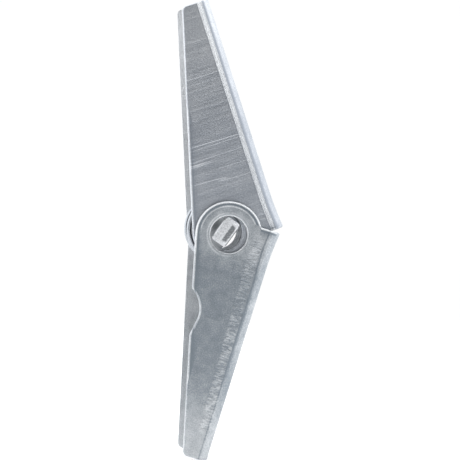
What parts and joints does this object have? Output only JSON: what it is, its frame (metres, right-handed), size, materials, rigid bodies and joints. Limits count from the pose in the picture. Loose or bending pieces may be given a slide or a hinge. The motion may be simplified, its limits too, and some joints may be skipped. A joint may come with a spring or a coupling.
{
  "type": "spring toggle anchor",
  "caption": "Spring toggle for hollow walls: folding channel wings on a threaded trunnion nut, sprung open.",
  "frame": {"origin": "middle of the trunnion nut, on the thread's axis", "axes": "+Y along the pivot axis, +Z along the open wings towards the inner wing's tip, -X towards the wall that the wings bear on; at rest the thread leans 36 degrees from -X towards +Z"},
  "size_m": [0.0112, 0.0116, 0.0505],
  "materials": {
    "outer_wing": "zinc-plated pressed steel, satin with fine forming marks",
    "inner_wing": "zinc-plated pressed steel, satin with fine scratches across the wing",
    "trunnion_nut": "zinc-plated steel with sheared ends",
    "torsion_spring": "zinc-plated drawn spring wire, smooth"
  },
  "bodies": {
    "nut": {"trunnion_nut": "trunnion_nut"},
    "spring": {"torsion_spring": "torsion_spring"},
    "outer_wing": {"outer_wing": "outer_wing"},
    "inner_wing": {"inner_wing": "inner_wing"}
  },
  "joints": [
    {"name": "nut_swivel", "type": "hinge", "parent": "nut", "child": "spring", "pos_m": [0, 0, 0], "axis": [0, 1, 0], "continuous": true},
    {"name": "outer_wing_fold", "type": "hinge", "parent": "spring", "child": "outer_wing", "pos_m": [0.00027, 0, -0.0003], "axis": [0, 1, 0], "range_deg": [0, 72], "stiffness_Nm_per_rad": 0.01, "springref_deg": -28.65, "deforming": ["torsion_spring"]},
    {"name": "inner_wing_fold", "type": "hinge", "parent": "spring", "child": "inner_wing", "pos_m": [-0.00033, 0, 0], "axis": [0, -1, 0], "range_deg": [0, 72], "stiffness_Nm_per_rad": 0.01, "springref_deg": -28.65, "deforming": ["torsion_spring"]}
  ]
}
